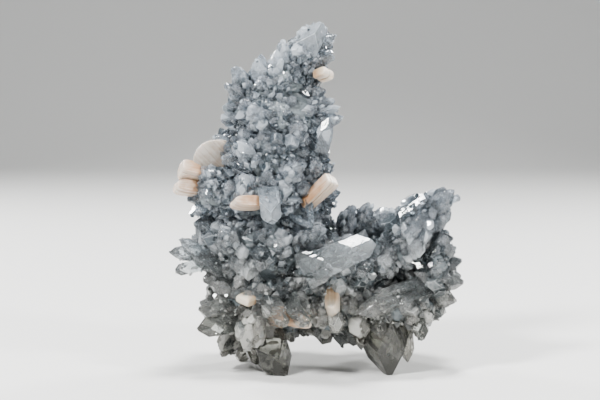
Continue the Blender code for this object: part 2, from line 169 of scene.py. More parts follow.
def tilt_about_y(degrees):
    """The matrix that leans a shape towards +X."""
    c, s = math.cos(math.radians(degrees)), math.sin(math.radians(degrees))
    return np.array(((c, 0.0, s), (0.0, 1.0, 0.0), (-s, 0.0, c)))


def uneven(points, size, seed):
    """A smooth value at each point, mostly from -1 to 1: the sum of nine slanted waves about size long."""
    rng = np.random.default_rng(seed)
    waves = rng.normal(size=(9, 3))
    stretch = rng.uniform(0.6, 1.6, (9, 1))
    waves *= 2 * math.pi / (size * np.linalg.norm(waves, axis=1, keepdims=True)) * stretch
    return np.sin(points @ waves.T + rng.uniform(0, 2 * math.pi, 9)).mean(axis=-1) * 2


def ball_points(around, up):
    """A ball of radius one: rings of points at longitudes u and latitudes v, then the top and the bottom."""
    v = np.linspace(0, math.pi, up + 2)[1:-1, None]
    u = np.linspace(0, 2 * math.pi, around, endpoint=False)[None, :]
    rings = np.stack((np.sin(v) * np.cos(u), np.sin(v) * np.sin(u), np.cos(v) + 0 * u), axis=-1)
    return np.concatenate((rings.reshape(-1, 3), ((0, 0, 1), (0, 0, -1))))


def swelling_surface(centre, radii, lean):
    """A ball stretched by the radii and leant, then swollen by a coarse and a fine smooth pattern."""
    middle = np.array(centre)
    place = middle + ball_points(*SWELLING_GRID) * np.array(radii) @ tilt_about_y(lean).T
    swell = 0.96 + 0.05 * uneven(place, 7.0, 3) + 0.035 * uneven(place, 2.6, 4)
    return middle + (place - middle) * swell[:, None]


def ball_faces(count, around, up):
    """The faces of so many balls: quads between their rings, and triangles that close them at both poles."""
    ring = np.arange(around)
    low = ring[None, :] + around * np.arange(up - 1)[:, None]
    high = (ring[None, :] + 1) % around + around * np.arange(up - 1)[:, None]
    quads = np.stack((low, low + around, high + around, high), axis=-1).reshape(-1, 4)
    last = around * (up - 1)
    top = np.stack((np.full(around, around * up), ring, (ring + 1) % around), axis=-1)
    bottom = np.stack((np.full(around, around * up + 1), last + (ring + 1) % around, last + ring), axis=-1)
    shift = (around * up + 2) * np.arange(count)[:, None, None]
    return [(faces + shift).reshape(-1, faces.shape[1]) for faces in (quads, top, bottom)]


def mesh_piece(name, points, groups, materials, slots=None, rims=None, smooth=False, marks=None, node=None):
    """One piece of the specimen, from points in mm and groups of faces of one corner count each.

    slots has one material number per face, rims is 1 on the faces along a crystal's edges, and marks are
    numbers or vectors kept at every point. node is the CAD node that it stands for.
    """
    mesh = bpy.data.meshes.new(name)
    place = (points + PLAN_SHIFT) * MM
    mesh.vertices.add(len(place))
    mesh.vertices.foreach_set("co", place.astype(np.float32).ravel())
    sizes = np.concatenate([np.full(len(g), g.shape[1]) for g in groups])
    loops = np.concatenate([g.ravel() for g in groups])
    mesh.loops.add(len(loops))
    mesh.loops.foreach_set("vertex_index", loops.astype(np.int32))
    mesh.polygons.add(len(sizes))
    mesh.polygons.foreach_set("loop_start", (np.cumsum(sizes) - sizes).astype(np.int32))
    mesh.update(calc_edges=True)
    mesh.polygons.foreach_set("use_smooth", np.full(len(sizes), smooth))
    for material in materials:
        mesh.materials.append(material)
    if slots is not None:
        mesh.polygons.foreach_set("material_index", slots.astype(np.int32))
    for mark, values in (marks or {}).items():
        kind, key = ("FLOAT", "value") if values.ndim == 1 else ("FLOAT_VECTOR", "vector")
        mesh.attributes.new(mark, kind, "POINT").data.foreach_set(key, values.astype(np.float32).ravel())
    if rims is not None:
        mesh.attributes.new("rim", "FLOAT", "FACE").data.foreach_set("value", rims.astype(np.float32))
    mesh.validate()
    if smooth:  # all but the edges where two faces meet at more than 40 degrees
        mesh.set_sharp_from_angle(angle=math.radians(40))
    piece = bpy.data.objects.new(name, mesh)
    bpy.context.scene.collection.objects.link(piece)
    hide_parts(node or "apophyllite_cluster")
    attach(piece, "root")


# massive apophyllite, grey and cloudy, with patches 9 mm wide; its grey is darkened as painted shade between
# the crystals
massive, tree = new_material("apophyllite, massive, painted dark as shade")
where = add_node(tree, "TexCoord").outputs["Object"]
cloud = add_node(tree, "TexNoise", {"Vector": where, "Scale": 1 / (9 * MM), "Detail": 5.0})
# painted shade: the ramp is dark grey so that the gaps between the crystals look shaded
tone = add_node(tree, "ValToRGB", {"Fac": cloud.outputs["Fac"]})
tone.color_ramp.elements[0].position = 0.35
tone.color_ramp.elements[0].color = linear("#575e61")
tone.color_ramp.elements[1].position = 0.7
tone.color_ramp.elements[1].color = linear("#8e9699")
grit = add_node(tree, "TexVoronoi", {"Vector": where, "Scale": 1 / (1.1 * MM)})
bump = add_node(tree, "Bump", {"Height": grit.outputs["Distance"], "Strength": 0.7, "Distance": 0.4 * MM})
shade = add_node(
    tree,
    "BsdfPrincipled",
    {"Base Color": tone.outputs["Color"], "Roughness": 0.25, "IOR": 1.535, "Normal": bump.outputs["Normal"]},
)
add_node(tree, "OutputMaterial", {"Surface": shade.outputs[0]})

surfaces = [swelling_surface(centre, radii, lean) for centre, radii, lean, _ in SWELLINGS]
faces = ball_faces(len(SWELLINGS), *SWELLING_GRID)
mesh_piece("apophyllite_mass", np.concatenate(surfaces), faces, [massive])

# The druse: thousands of small apophyllite crystals, each a square prism with a steep four-sided point whose
# faces stand over the prism's edges. They crowd on every swelling and point outwards, some are clear, some
# cloudy, many end flat, and every edge is worn to a thin frosted line, whiter partly from its frosting and
# partly from a painted highlight.

STEEP = 1.24  # drop of apophyllite's pyramid per unit of x + y, from its 60.3 degree face

# The planes of a crystal in its own frame, Z along it: four sides, and four pyramid faces over its edges.
SIDES = np.array(((1, 0, 0), (0, 1, 0), (-1, 0, 0), (0, -1, 0)), dtype=float)
SLOPES = np.array(((1, 1, 1 / STEEP), (-1, 1, 1 / STEEP), (-1, -1, 1 / STEEP), (1, -1, 1 / STEEP)))
BELOW = np.array(((0.0, 0.0, -1.0),))
ABOVE = np.array(((0.0, 0.0, 1.0),))

# Each corner is where three planes meet. The sides are planes 0 to 3 and the slopes 4 to 7.
PRISM_CORNERS = (
    (0, 1, 8), (1, 2, 8), (2, 3, 8), (3, 0, 8),
    (0, 1, 4), (1, 2, 5), (2, 3, 6), (3, 0, 7),
    (1, 4, 5), (2, 5, 6), (3, 6, 7), (0, 7, 4),
)
PRISM_FACES = ((3, 0, 4, 11, 7), (0, 1, 5, 8, 4), (1, 2, 6, 9, 5), (2, 3, 7, 10, 6), (0, 3, 2, 1))
POINT_FACES = ((12, 11, 4, 8, 13), (13, 9, 6, 10, 12), (12, 10, 7, 11), (13, 8, 5, 9))


def worn(faces):
    """The faces of a solid whose edges and corners are all cut off.

    Every corner of every face becomes a point of its own. Each face keeps its shape, each edge becomes a
    strip between two faces, and each old corner becomes a small face between three or four of them.
    """
    spot = {}
    trio = []
    for number, face in enumerate(faces):
        for place, corner in enumerate(face):
            spot[number, corner] = len(trio)
            trio.append((corner, face[place - 1], face[(place + 1) % len(face)]))
    inner = [tuple(spot[number, corner] for corner in face) for number, face in enumerate(faces)]
    owner = {(a, b): n for n, face in enumerate(faces) for a, b in zip(face, face[1:] + face[:1])}
    strips = [
        (spot[f, b], spot[f, a], spot[owner[b, a], a], spot[owner[b, a], b])
        for (a, b), f in owner.items()
        if a < b
    ]
    step = {(a, owner[b, a]): f for (a, b), f in owner.items()}
    caps = []
    for corner in sorted({a for a, _ in owner}):
        first = min(n for a, n in step if a == corner)
        ring = [first]
        while step[corner, ring[-1]] != first:
            ring.append(step[corner, ring[-1]])
        caps.append(tuple(spot[number, corner] for number in ring))
    return {"trio": np.array(trio), "faces": inner, "edges": strips + caps}


POINTED = {
    "corners": np.array(PRISM_CORNERS + ((4, 6, 7), (4, 6, 5))),
    "skin": worn(PRISM_FACES + POINT_FACES),
}
BLUNT = {
    "corners": np.array(PRISM_CORNERS + ((9, 7, 4), (9, 4, 5), (9, 5, 6), (9, 6, 7))),
    "skin": worn(
        PRISM_FACES
        + ((12, 11, 4, 8, 13), (13, 8, 5, 9, 14), (14, 9, 6, 10, 15), (15, 10, 7, 11, 12), (12, 13, 14, 15))
    ),
}
DOUBLE_ENDED = {
    "corners": np.array(
        ((0, 1, 8), (1, 2, 9), (2, 3, 10), (3, 0, 11))
        + PRISM_CORNERS[4:]
        + ((4, 6, 7), (4, 6, 5), (1, 8, 9), (2, 9, 10), (3, 10, 11), (0, 11, 8), (8, 10, 11), (8, 10, 9))
    ),
    "skin": worn(
        ((3, 17, 0, 4, 11, 7), (0, 14, 1, 5, 8, 4), (1, 15, 2, 6, 9, 5), (2, 16, 3, 7, 10, 6))
        + POINT_FACES
        + ((19, 14, 0, 17, 18), (18, 16, 2, 15, 19), (17, 3, 16, 18), (15, 1, 14, 19))
    ),
}
# the finest crystals are too small for worn edges
TINY = {"corners": POINTED["corners"], "skin": {"faces": PRISM_FACES + POINT_FACES, "edges": ()}}


def directions(vectors):
    """The vectors, each brought to a length of one."""
    return vectors / np.linalg.norm(vectors, axis=-1, keepdims=True)


def axes_along(axis, twist):
    """Three unit vectors per crystal: two across it, turned by twist, and its own axis."""
    aside = np.where(np.abs(axis[:, 2:3]) < 0.9, np.array(((0.0, 0.0, 1.0),)), np.array(((1.0, 0.0, 0.0),)))
    across = directions(np.cross(aside, axis))
    other = np.cross(axis, across)
    c, s = np.cos(twist)[:, None], np.sin(twist)[:, None]
    return np.stack((across * c + other * s, other * c - across * s, axis), axis=1)


def grown(kind, half, length, late, axes, origin, rng, end=None, thick=1.0, wear=0.035):
    """A batch of crystals of one kind: each corner is solved as the meeting point of its three planes.

    late holds how far below the full length each slope's point is. end holds the plane of a flat end, as a
    normal and a distance in the crystal's frame. The edges are then cut back by wear times half the width.
    """
    count = len(half)
    normals = np.broadcast_to(np.concatenate((SIDES, SLOPES, BELOW)), (count, 9, 3)).copy()
    normals[:, :4, 2] = rng.uniform(-0.02, 0.05, (count, 4))  # no two sides are quite parallel
    sides = half[:, None] * rng.uniform(0.84, 1.0, (count, 4))
    sides[:, 1::2] *= np.reshape(thick, (-1, 1))
    reach = np.concatenate((sides, (length[:, None] - late) / STEEP, np.zeros((count, 1))), axis=1)
    if kind is BLUNT:
        normals = np.concatenate((normals, end[0][:, None, :]), axis=1)
        reach = np.concatenate((reach, end[1][:, None]), axis=1)
    if kind is DOUBLE_ENDED:
        lower = np.broadcast_to(SLOPES * (1, 1, -1), (count, 4, 3))
        normals = np.concatenate((normals[:, :8], lower), axis=1)
        reach = np.concatenate((reach[:, :8], -late[:, ::-1] / STEEP), axis=1)
    trios = kind["corners"]
    corners = np.linalg.solve(normals[:, trios], reach[:, trios][..., None])[..., 0]
    local = corners
    if kind is not TINY:
        here, back, on = (corners[:, kind["skin"]["trio"][:, k]] for k in range(3))
        back, on = directions(back - here), directions(on - here)
        sine = np.linalg.norm(np.cross(back, on), axis=-1)
        local = here + (back + on) * ((wear * half)[:, None] / sine)[..., None]
    return {
        "kind": kind,
        "points": np.einsum("nvk,nkd->nvd", local, axes) + origin[:, None, :],
        "grain": local + rng.uniform(0, 50, (count, 1, 3)),
        "height": local[..., 2] / length[:, None],
        "half": half,
        "thick": np.broadcast_to(thick, (count,)),
        "top": end[1] if kind is BLUNT else length,
        "length": length,
        "axes": axes,
        "origin": origin,
    }


def crystal_piece(name, batches, materials):
    """One piece of all the crystals in the batches. The clear ones take slot 0 and the cloudy ones slot 1."""
    groups, slots, rims = {}, {}, {}
    offset = 0
    for batch in batches:
        count, each = batch["points"].shape[:2]
        shift = offset + each * np.arange(count)[:, None, None]
        for key in ("faces", "edges"):
            for corners in sorted({len(face) for face in batch["kind"]["skin"][key]}):
                some = np.array([face for face in batch["kind"]["skin"][key] if len(face) == corners])
                groups.setdefault(corners, []).append((some + shift).reshape(-1, corners))
                slots.setdefault(corners, []).append(np.repeat(batch["slot"], len(some)))
                rims.setdefault(corners, []).append(np.full(count * len(some), key == "edges"))
        offset += count * each
    order = sorted(groups)
    mesh_piece(
        name,
        np.concatenate([batch["points"].reshape(-1, 3) for batch in batches]),
        [np.concatenate(groups[k]) for k in order],
        materials,
        slots=np.concatenate([np.concatenate(slots[k]) for k in order]),
        rims=np.concatenate([np.concatenate(rims[k]) for k in order]),
        marks={
            "grain": np.concatenate([batch["grain"].reshape(-1, 3) for batch in batches]),
            "height": np.concatenate([batch["height"].ravel() for batch in batches]),
            "tone": np.concatenate([np.repeat(batch["tone"], batch["points"].shape[1]) for batch in batches]),
        },
    )


GOLDEN_ANGLE = math.radians(137.508)
LOWEST_DRUSE = 3.0  # mm above the table, for a root
LOWEST_POINT = 1.2  # mm, for the point of a finest crystal or of a growth on a large one


def scattered(index, spacing, rng):
    """Points and outward directions on one swelling, wherever no other one covers it.

    They follow a spiral by the golden angle, which spreads them evenly, and each is then shifted a little.
    """
    centre, radii, lean, _ = SWELLINGS[index]
    radii = np.array(radii)
    pairs = (radii * np.roll(radii, 1)) ** 1.6
    area = 4 * math.pi * pairs.mean() ** (1 / 1.6)  # of a stretched ball, to within 1.1%
    count = int(area / spacing**2)
    turn = np.arange(count) * GOLDEN_ANGLE
    height = 1 - (2 * np.arange(count) + 1) / count
    ring = np.sqrt(1 - height**2)
    unit = np.stack((np.cos(turn) * ring, np.sin(turn) * ring, height), axis=1)
    unit = directions(unit + rng.normal(size=unit.shape) * spacing / radii.mean() * 0.3)
    lean = tilt_about_y(lean)
    place = np.array(centre) + unit * radii @ lean.T
    outward = directions(unit / radii @ lean.T)
    free = place[:, 2] > LOWEST_DRUSE
    for other, (middle, size, tip, _) in enumerate(SWELLINGS):
        if other != index:
            within = ((place - np.array(middle)) @ tilt_about_y(tip)) / np.array(size)
            free &= np.linalg.norm(within, axis=1) > 0.96
    return place[free], outward[free]


def small_batches(half, length, axes, origin, tone, flat, cloudy, rng):
    """Small crystals in two batches: pointed ones, whose end is a short ridge, and flat-ended ones."""
    batches = []
    for kind, some in ((POINTED, ~flat), (BLUNT, flat)):
        if not some.any():
            continue
        short = half[some][:, None]
        late = short * rng.uniform(0.0, 0.1, (some.sum(), 4))
        end = None
        if kind is POINTED:
            late[:, ::2] += short * rng.uniform(0.25, 0.6, (some.sum(), 1))
        else:
            lost = half[some] * rng.uniform(0.35, 0.95, some.sum())
            lean = ABOVE + rng.normal(size=(some.sum(), 3)) * (0.03, 0.03, 0.0)
            end = (lean, length[some] - lost)
        batch = grown(kind, half[some], length[some], late, axes[some], origin[some], rng, end)
        batch["tone"] = tone[some]
        batch["slot"] = cloudy[some].astype(int)
        batches.append(batch)
    return batches


def moved_out(place, half, some, side, share):
    """Moves some of the places out to a side of their crystals, at a share of the half width."""
    edge = np.where(side % 2 == 0, 1.0, -1.0) * half * share
    place[:, 0] = np.where(some & (side < 2), edge, place[:, 0])
    place[:, 1] = np.where(some & (side >= 2), edge, place[:, 1])


def sugar(batches, each, sizes, rng):
    """The finest crystals, grown on the sides and the points of larger ones, a few on each.

    At x and y across its crystal, one sits on the four slopes: at the length less STEEP times |x| + |y|.
    Half of them sit lower, on a side. They look half outwards and half along the crystal.
    """
    made = []
    for batch in batches:
        half, thick, top, length, axes, origin = (
            np.repeat(batch[key], each, axis=0)
            for key in ("half", "thick", "top", "length", "axes", "origin")
        )
        count = len(half)
        place = rng.uniform(-0.95, 0.95, (count, 3)) * half[:, None]
        side = rng.integers(0, 4, count)
        on_side = rng.uniform(0, 1, count) < 0.5
        moved_out(place, half, on_side, side, 0.93)
        slope = np.minimum(length - STEEP * np.abs(place[:, :2]).sum(axis=1), top)
        place[:, 2] = np.where(on_side, slope * rng.uniform(0.35, 1.0, count), slope)
        look = np.sign(place) * (1, 1, 0)
        look[:, 0] = np.where(on_side & (side >= 2), 0, look[:, 0])
        look[:, 1] = np.where(on_side & (side < 2), 0, look[:, 1])
        look += rng.normal(size=(count, 3)) * 0.45 + (0, 0, 0.8)
        place[:, 1] *= thick
        spot = origin + np.einsum("nk,nkd->nd", place, axes)
        axis = directions(np.einsum("nk,nkd->nd", look, axes))
        small = rng.uniform(*sizes, count) * np.clip(half / 2.0, 0.6, 1.3)
        kept = (spot[:, 2] > LOWEST_POINT) & (uneven(spot, 7.0, 31) > -0.45)
        small, spot, axis = small[kept], spot[kept], axis[kept]
        span = small * rng.uniform(2.6, 3.6, len(small))
        late = small[:, None] * rng.uniform(0.0, 0.3, (len(small), 4))
        stand = small * rng.uniform(0.4, 1.5, len(small))
        axes = axes_along(axis, rng.uniform(0, math.pi, len(small)))
        tiny = grown(TINY, small, span, late, axes, spot + axis * (stand - span)[:, None], rng)
        tiny["tone"] = rng.uniform(0.2, 1.0, len(small))
        tiny["slot"] = (rng.uniform(0, 1, len(small)) < 0.45).astype(int)
        made.append(tiny)
    return made


FLAT_ENDED = 0.42  # shares of the druse crystals
CLOUDY = 0.35


def druse(name, indices, seed, materials):
    """All small crystals on the given swellings as one piece, in patches of finer and coarser ones."""
    rng = np.random.default_rng(seed)
    batches = []
    for index in indices:
        grain = SWELLINGS[index][3]
        place, outward = scattered(index, grain * 0.54, rng)
        kept = uneven(place, 15.0, 21) < 0.85
        place, outward = place[kept], outward[kept]
        count = len(place)
        coarse = 1.0 + 0.3 * uneven(place, 12.0, 22)
        # four sizes of crystal, most of them smaller than the swelling's usual one
        half = grain * 0.5 * coarse * rng.choice((0.5, 0.75, 1.0, 1.4), count, p=(0.22, 0.36, 0.30, 0.12))
        stand = half * rng.uniform(0.4, 2.0, count) + 0.8 * uneven(place, 6.0, 23)
        axis = directions(outward + rng.normal(size=(count, 3)) * 0.32)
        # those that would reach the table stay short
        low = place[:, 2] + axis[:, 2] * stand - half < 0.6
        stand = np.maximum(np.where(low, 0.3 * stand, stand), 0.3)
        length = np.maximum(stand + 0.8 * half, 2.75 * half)
        origin = place + axis * (stand - length)[:, None]
        axes = axes_along(axis, rng.uniform(0, math.pi, count))
        tone = np.clip(rng.normal(0.42, 0.34, count) + 0.16 * uneven(place, 9.0, 24), 0, 1)
        flat, cloudy = rng.uniform(0, 1, (2, count)) < ((FLAT_ENDED,), (CLOUDY,))
        batches += small_batches(half, length, axes, origin, tone, flat, cloudy, rng)
    crystal_piece(name, batches, materials)
    crystal_piece(name.replace("druse", "sugar"), sugar(batches, 2, (0.26, 0.5), rng), finest_looks)


def apophyllite(name, tones, clear, rough, facet, rough_facets, absorbed=None):
    """Apophyllite of one clearness: greyer at its roots, whiter at its points, rims and cloudy patches.

    tones are its colours from root to point, under a tint from warm grey near the table to cool grey higher
    up; the greyer roots are partly painted shade and the whiter points partly painted light, and the rims,
    which are frosted, get a painted edge highlight. Near the table the tint is darker as painted shade. Fine
    growth lines run along each crystal, and growth facets, facet mm wide, break up what it mirrors.
    absorbed is what is lost inside, as a colour and a density.
    """
    material, tree = new_material(name)
    where = add_node(tree, "TexCoord").outputs["Object"]
    tone = add_node(tree, "Attribute", attribute_name="tone").outputs["Fac"]
    rim = add_node(tree, "Attribute", attribute_name="rim").outputs["Fac"]
    height = add_node(tree, "Attribute", attribute_name="height").outputs["Fac"]
    grain = add_node(tree, "Attribute", attribute_name="grain").outputs["Vector"]
    # cloudy patches 1.8 mm wide
    cloud = add_node(
        tree, "TexNoise", {"Vector": where, "Scale": 1 / (1.8 * MM), "Detail": 5.0, "Roughness": 0.7}
    )
    mixed = add_node(tree, "Math", {0: cloud.outputs["Fac"], 1: tone}, operation="ADD")
    # painted shade and light: the colour rises from root to point, partly the crystal's own tone and partly
    # painted shade at the roots and painted light at the points, and the rims add a painted edge highlight
    # over their frosting
    scaled = add_node(tree, "Math", {0: height, 1: 0.5, 2: -0.5}, operation="MULTIPLY_ADD")
    bright = add_node(tree, "Math", {0: rim, 1: 0.45, 2: scaled.outputs[0]}, operation="MULTIPLY_ADD")
    value = add_node(tree, "Math", {0: mixed.outputs[0], 1: bright.outputs[0]}, operation="ADD")
    ramp = add_node(tree, "ValToRGB", {"Fac": value.outputs[0]})
    ramp.color_ramp.elements[0].position = 0.25
    ramp.color_ramp.elements[0].color = linear(tones[0])
    ramp.color_ramp.elements[1].position = 0.95
    ramp.color_ramp.elements[1].color = linear(tones[2])
    ramp.color_ramp.elements.new(0.6).color = linear(tones[1])
    # the tint, from 5 to 55 mm above the table: warm and darker near the table, the darkness being painted
    # shade
    level = add_node(tree, "SeparateXYZ", {"Vector": where})
    rise = add_node(
        tree, "MapRange", {"Value": level.outputs["Z"], "From Min": 5 * MM, "From Max": 55 * MM}
    )
    tint = add_node(tree, "ValToRGB", {"Fac": rise.outputs[0]})
    tint.color_ramp.elements[0].color = linear("#bfbdb7")
    tint.color_ramp.elements[1].color = linear("#edf3fa")
    tint.color_ramp.elements.new(0.25).color = linear("#efece5")
    colour = add_node(tree, "Mix", {"Factor": 1.0}, data_type="RGBA", blend_type="MULTIPLY")
    tree.links.new(ramp.outputs["Color"], colour.inputs["A"])
    tree.links.new(tint.outputs["Color"], colour.inputs["B"])
    frost = add_node(tree, "Math", {0: rim, 1: 0.2, 2: rough}, operation="MULTIPLY_ADD")
    # growth lines 0.3 mm apart and 5 mm long, on the crystal's own coordinates in mm
    along = add_node(tree, "Mapping", {"Vector": grain, "Scale": (3.3, 3.3, 0.2)})
    lines = add_node(tree, "TexNoise", {"Vector": along.outputs[0], "Scale": 1.0, "Detail": 2.0})
    fine = add_node(
        tree, "Bump", {"Height": lines.outputs["Fac"], "Strength": 0.5, "Distance": 0.03 * MM}
    )
    # growth facets: in each cell of the pattern the height is a plane that slants its own way
    fitted = add_node(tree, "VectorMath", {0: where, "Scale": 1 / (facet * MM)}, operation="SCALE")
    cells = add_node(tree, "TexVoronoi", {"Vector": fitted.outputs[0], "Scale": 1.0})
    within = add_node(
        tree, "VectorMath", {0: fitted.outputs[0], 1: cells.outputs["Position"]}, operation="SUBTRACT"
    )
    slant = add_node(
        tree, "VectorMath", {0: cells.outputs["Color"], 1: (0.5, 0.5, 0.5)}, operation="SUBTRACT"
    )
    plane = add_node(
        tree, "VectorMath", {0: within.outputs[0], 1: slant.outputs[0]}, operation="DOT_PRODUCT"
    )
    bump = add_node(
        tree,
        "Bump",
        {
            "Height": plane.outputs["Value"],
            "Strength": 1.0,
            "Distance": rough_facets * facet * MM,
            "Normal": fine.outputs["Normal"],
        },
    )
    shade = add_node(
        tree,
        "BsdfPrincipled",
        {
            "Base Color": colour.outputs["Result"],
            "Roughness": frost.outputs[0],
            "IOR": 1.535,
            "Transmission Weight": clear,
            "Normal": bump.outputs["Normal"],
        },
    )
    out = add_node(tree, "OutputMaterial", {"Surface": shade.outputs[0]})
    if absorbed:
        haze, density = absorbed
        lost = add_node(tree, "VolumeAbsorption", {"Color": linear(haze), "Density": density})
        tree.links.new(lost.outputs[0], out.inputs["Volume"])
    return material


# clear crystals mirror the lamps and let light through, cloudy ones scatter it and look grey
druse_clear = apophyllite(
    "apophyllite druse, clear",
    ("#878e92", "#c6cbce", "#fbfcfc"),
    clear=0.83, rough=0.03, facet=1.8, rough_facets=0.12,
)
druse_cloudy = apophyllite(
    "apophyllite druse, cloudy",
    ("#646c70", "#a6acaf", "#f9fbfb"),
    clear=0.55, rough=0.06, facet=1.3, rough_facets=0.16,
)
# the finest ones are too small to show a face, and only sparkle
finest_clear = apophyllite(
    "apophyllite druse, finest",
    ("#858c90", "#c6cbce", "#ffffff"),
    clear=0.72, rough=0.03, facet=0.5, rough_facets=0.6,
)
druse_looks = [druse_clear, druse_cloudy]
finest_looks = [finest_clear, druse_cloudy]

druse("druse_tower", (0, 1, 2, 3, 4, 13), 11, druse_looks)
druse("druse_foot", (5, 6, 7, 8), 12, druse_looks)
druse("druse_lobe", (9, 10, 11, 12, 14), 13, druse_looks)

# The large crystals: clear to cloudy apophyllite, each grown out of the mass on its own. The widest is the
# double-ended one that lies across the middle, and four of them are the feet, worn flat where they stand.

# root, point (mm), width, twist in degrees, share lost to a flat end, thickness over width, and how milky
LARGE_FRONT = (
    # the leaning top of the tower
    ((-6.0, 0.0, 101.0), (2.0, -3.6, 118.9), 9.6, 12, 0.07, 1.0, 0.5),
    # the small points on the tower's right edge
    ((-2.0, -2.0, 109.0), (6.6, -5.0, 113.8), 3.2, 10, 0.0, 1.0, 0.2),
    ((-2.0, -2.0, 103.0), (5.6, -6.0, 108.6), 4.6, 35, 0.1, 1.0, 0.4),
    ((-6.0, 0.0, 93.0), (3.4, -4.0, 95.0), 4.2, 12, 0.05, 1.0, 0.4),
    ((-6.0, 0.0, 70.0), (4.6, -4.5, 74.0), 5.0, 30, 0.05, 1.0, 0.3),
    ((-4.0, -1.0, 82.5), (9.4, -5.0, 86.4), 3.8, 20, 0.0, 1.0, 0.3),
    ((-4.0, -1.0, 85.5), (8.4, -6.0, 90.0), 3.4, 50, 0.0, 1.0, 0.5),
    ((-4.0, 0.0, 65.0), (6.4, -5.0, 70.5), 4.4, 25, 0.0, 1.0, 0.3),
    ((-4.0, -2.0, 57.0), (8.9, -6.0, 61.6), 4.6, 20, 0.0, 1.0, 0.1),
    # the milky block that points down
    ((-16.0, -12.0, 61.5), (-14.8, -21.0, 50.8), 7.2, 8, 0.16, 1.0, 0.5),
    # thin clear blades under the right sheaf
    ((-3.0, -12.0, 59.0), (-2.0, -18.0, 50.6), 2.4, 15, 0.0, 0.4, 0.0),
    ((-9.5, -13.0, 53.6), (-1.4, -18.2, 51.0), 2.4, 70, 0.0, 0.5, 0.1),
    # the long prism and the points on the left flank
    ((-29.0, -1.0, 49.0), (-42.4, -6.0, 50.2), 6.0, 18, 0.06, 1.0, 0.3),
    ((-27.0, -3.0, 32.0), (-39.6, -8.0, 31.4), 6.4, 33, 0.1, 1.0, 0.2),
    ((-29.0, -6.0, 30.0), (-46.2, -15.0, 47.0), 5.4, 12, 0.03, 1.0, 0.3),
    ((-32.0, -5.0, 40.0), (-50.2, -12.0, 41.4), 4.6, 30, 0.0, 1.0, 0.0),
    ((-31.0, -6.0, 38.5), (-48.2, -13.0, 35.0), 5.2, 15, 0.06, 1.0, 0.1),
    ((-32.0, -4.0, 58.0), (-43.8, -8.0, 53.4), 5.0, 35, 0.0, 1.0, 0.3),
    # the petals and the two feet at the lower left
    ((-26.0, -9.0, 19.5), (-40.0, -18.0, 23.6), 6.8, 40, 0.05, 1.0, 0.0),
    ((-25.0, -10.0, 18.5), (-40.8, -19.0, 16.4), 7.4, 10, 0.04, 1.0, 0.0),
    ((-17.0, -13.0, 24.5), (-9.8, -25.0, 18.6), 6.8, 12, 0.05, 1.0, 0.4),
    ((-8.0, -12.0, 25.5), (-3.6, -27.5, 19.0), 6.0, 44, 0.12, 1.0, 0.1),
    ((-13.0, -7.0, 25.5), (0.4, -22.0, 21.2), 6.0, 30, 0.02, 1.0, 0.1),
    # the dark smooth wall in the lobe's hollow, and the lobe's upper corner
    ((24.0, 4.0, 41.0), (22.6, -10.5, 42.5), 10.0, 20, 0.3, 0.9, 0.0),
    ((28.0, -10.0, 53.0), (37.5, -14.5, 61.6), 3.6, 40, 0.02, 0.6, 0.2),
    ((33.0, -4.0, 45.0), (45.4, -9.0, 56.4), 6.5, 10, 0.1, 1.0, 0.4),
    ((34.0, -3.0, 44.5), (46.4, -8.0, 45.6), 6.0, 35, 0.05, 1.0, 0.3),
    # its right-hand side
    ((35.0, -6.0, 32.0), (49.8, -13.0, 31.4), 8.5, 22, 0.05, 1.0, 0.1),
    ((35.0, -4.0, 34.0), (49.4, -9.0, 38.6), 7.4, 40, 0.06, 1.0, 0.1),
    ((36.0, -7.0, 28.0), (47.0, -14.0, 25.0), 7.0, 12, 0.1, 1.0, 0.3),
    ((33.0, -6.0, 25.0), (42.0, -11.5, 20.2), 6.5, 28, 0.1, 1.0, 0.2),
    ((30.0, -6.0, 22.0), (38.6, -11.0, 16.2), 6.0, 20, 0.12, 1.0, 0.1),
    # its lower rim: the long smooth crystal and the points under it
    ((37.0, -8.0, 27.5), (11.5, -21.0, 21.8), 11.5, 44, 0.0, 0.8, 0.3),
    ((33.0, -11.0, 21.0), (34.8, -20.5, 12.6), 5.0, 30, 0.0, 1.0, 0.1),
    ((20.0, -9.0, 21.0), (21.0, -19.0, 13.4), 6.0, 8, 0.06, 1.0, 0.2),
    ((15.0, -9.0, 20.0), (15.6, -18.5, 13.6), 5.4, 30, 0.1, 1.0, 0.2),
    ((25.5, -8.0, 20.0), (24.6, -16.0, 15.6), 4.0, 20, 0.0, 1.0, 0.1),
    ((6.0, -10.0, 22.0), (6.4, -20.5, 15.6), 4.6, 38, 0.08, 1.0, 0.5),
)
